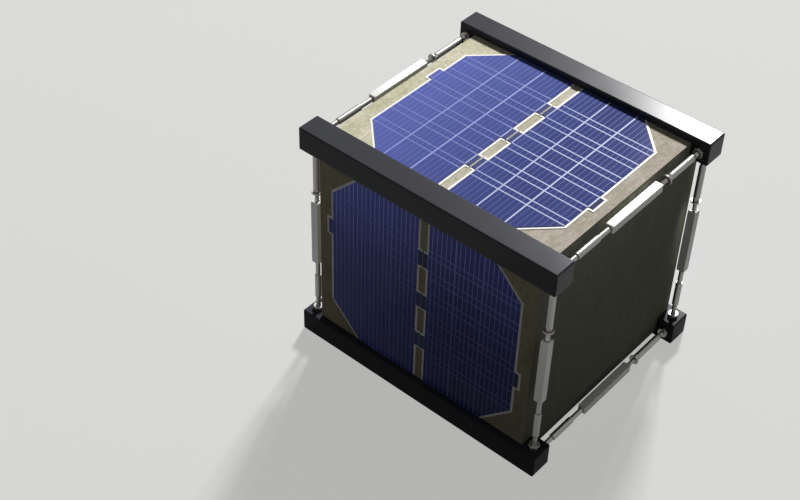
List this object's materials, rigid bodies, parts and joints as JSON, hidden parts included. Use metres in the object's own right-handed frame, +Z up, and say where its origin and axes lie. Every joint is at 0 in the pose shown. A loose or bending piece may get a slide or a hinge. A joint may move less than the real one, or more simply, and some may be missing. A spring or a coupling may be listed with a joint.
{
  "type": "wooden cube satellite",
  "caption": "Cube satellite: a jointed wooden box between four black square rails, with solar cells on its long faces and turnbuckle tie rods across both ends.",
  "frame": {"origin": "centre of the footprint, on the plane under the two lower rails", "axes": "+X along the rails to the end wall that the picture shows, -Y the front long face, +Z up"},
  "size_m": [0.1134, 0.1, 0.1],
  "materials": {
    "rail_black": "black hard anodised, satin",
    "box_wood": "planed fine-grained hardwood, bare",
    "cell_rim": "white silicone film, matte",
    "solar_cell": "coated cover glass over blue cells, glossy",
    "tie_steel": "polished stainless steel",
    "board_stack": "plain block for boards and battery"
  },
  "bodies": {
    "root": {"array_cells_back": "solar_cell", "array_cells_bottom": "solar_cell", "array_cells_front": "solar_cell", "array_cells_top": "solar_cell", "array_rim_back": "cell_rim", "array_rim_bottom": "cell_rim", "array_rim_front": "cell_rim", "array_rim_top": "cell_rim", "board_stack": "board_stack", "rail_lower_back": "rail_black", "rail_lower_front": "rail_black", "rail_upper_back": "rail_black", "rail_upper_front": "rail_black", "tie_left_back_body": "tie_steel", "tie_left_back_studs": "tie_steel", "tie_left_bottom_body": "tie_steel", "tie_left_bottom_studs": "tie_steel", "tie_left_front_body": "tie_steel", "tie_left_front_studs": "tie_steel", "tie_left_top_body": "tie_steel", "tie_left_top_studs": "tie_steel", "tie_right_back_body": "tie_steel", "tie_right_back_studs": "tie_steel", "tie_right_bottom_body": "tie_steel", "tie_right_bottom_studs": "tie_steel", "tie_right_front_body": "tie_steel", "tie_right_front_studs": "tie_steel", "tie_right_top_body": "tie_steel", "tie_right_top_studs": "tie_steel", "wood_back": "box_wood", "wood_bottom": "box_wood", "wood_front": "box_wood", "wood_left": "box_wood", "wood_right": "box_wood", "wood_top": "box_wood"}
  },
  "joints": []
}
